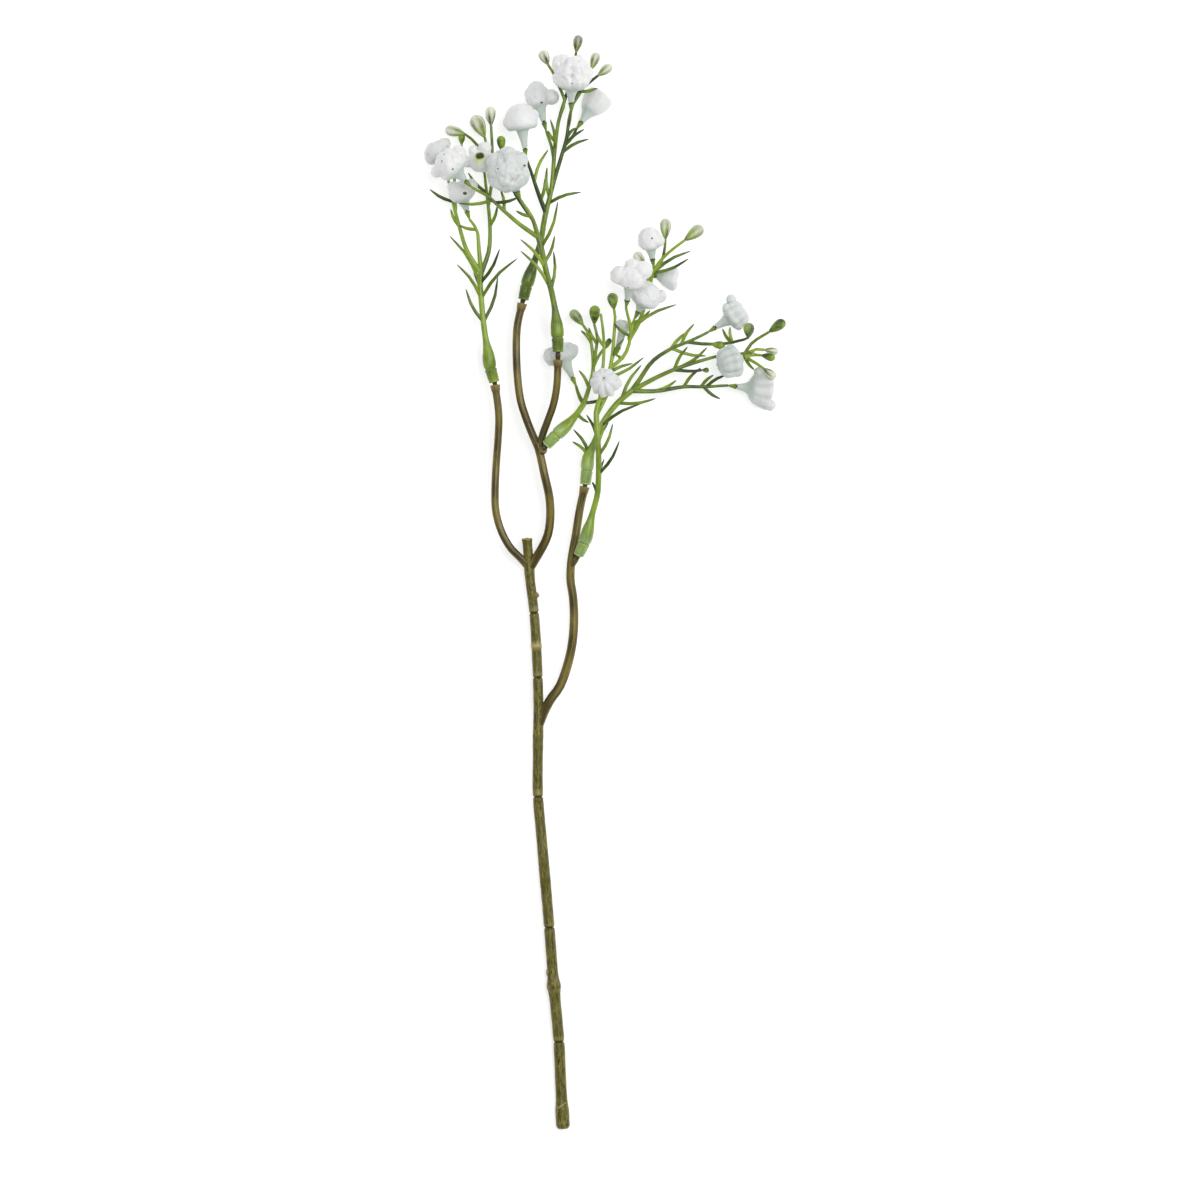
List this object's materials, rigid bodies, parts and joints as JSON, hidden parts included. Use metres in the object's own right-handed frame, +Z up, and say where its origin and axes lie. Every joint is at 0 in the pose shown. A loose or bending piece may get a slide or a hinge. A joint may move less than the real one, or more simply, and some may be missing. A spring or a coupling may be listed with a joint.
{
  "type": "gypsophila stem",
  "caption": "Moulded gypsophila stem lying flat: a bark-brown forked stem on wire, with green sprays of needle leaves and buds in sockets and small white ruffled blooms.",
  "frame": {"origin": "middle of the footprint of the whole outline, on the surface that the stem lies on", "axes": "+Y along the stem from its cut end to the blooms, +Z up from the surface, +X to the right with the blooms at the top"},
  "size_m": [0.1646, 0.4994, 0.0448],
  "materials": {
    "bark_plastic": "dark olive-brown, faintly streaked",
    "wire_steel": "dark, dull",
    "green_plastic": "satin leaf green",
    "bloom_plastic": "soft white, slightly translucent"
  },
  "bodies": {
    "root": {"stem": "bark_plastic", "wire_armature": "wire_steel", "spray_a": "green_plastic", "spray_b": "green_plastic", "spray_c": "green_plastic", "spray_d": "green_plastic", "spray_e": "green_plastic", "spray_f": "green_plastic", "bloom_01": "bloom_plastic", "bloom_02": "bloom_plastic", "bloom_03": "bloom_plastic", "bloom_04": "bloom_plastic", "bloom_05": "bloom_plastic", "bloom_06": "bloom_plastic", "bloom_07": "bloom_plastic", "bloom_08": "bloom_plastic", "bloom_09": "bloom_plastic", "bloom_10": "bloom_plastic", "bloom_11": "bloom_plastic", "bloom_12": "bloom_plastic", "bloom_13": "bloom_plastic", "bloom_14": "bloom_plastic", "bloom_15": "bloom_plastic", "bloom_16": "bloom_plastic", "bloom_17": "bloom_plastic", "bloom_18": "bloom_plastic", "bloom_19": "bloom_plastic"}
  },
  "joints": []
}
